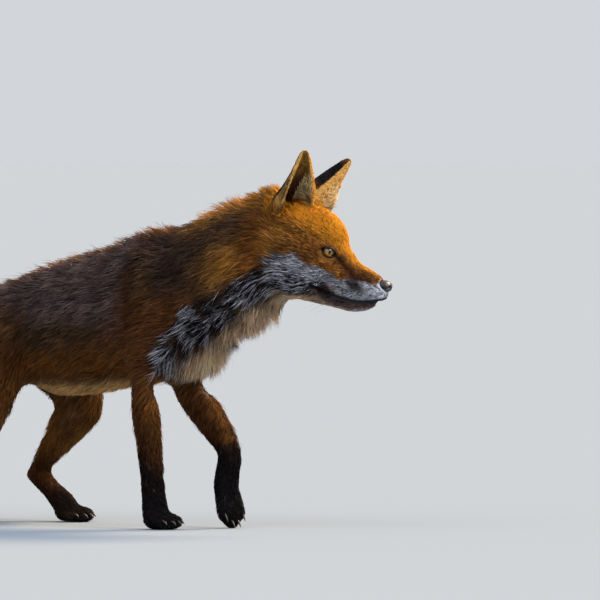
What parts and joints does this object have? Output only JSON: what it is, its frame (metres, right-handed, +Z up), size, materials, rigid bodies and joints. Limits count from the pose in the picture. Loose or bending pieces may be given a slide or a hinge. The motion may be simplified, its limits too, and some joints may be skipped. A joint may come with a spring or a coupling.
{
  "type": "red fox",
  "caption": "Life-size still model of a red fox in a slow stalking walk, with its head turned to its left and its brush held low behind.",
  "frame": {"origin": "on the floor, under the middle of the bounding box", "axes": "+X forwards along the trunk, +Y to the fox's left, +Z up"},
  "size_m": [0.9729, 0.1717, 0.4501],
  "materials": {
    "red_fur": "short rusty-red fur",
    "grey_fur": "long grizzled grey-brown fur",
    "white_fur": "cream-white fur",
    "dark_fur": "short black fur",
    "eye": "wet, polished amber",
    "nose": "moist black skin, fine-grained"
  },
  "bodies": {
    "root": {"ear_left": "dark_fur", "ear_right": "dark_fur", "eye_left": "eye", "eye_right": "eye", "foreleg_left": "red_fur", "foreleg_right": "red_fur", "forepaw_left": "dark_fur", "forepaw_right": "dark_fur", "head": "red_fur", "hindpaw_left": "dark_fur", "hindpaw_right": "dark_fur", "lower_jaw": "white_fur", "neck": "red_fur", "nose": "nose", "shank_left": "red_fur", "shank_right": "red_fur", "tail_base": "red_fur", "tail_tip": "white_fur", "thigh_left": "red_fur", "thigh_right": "red_fur", "trunk": "grey_fur"}
  },
  "joints": []
}
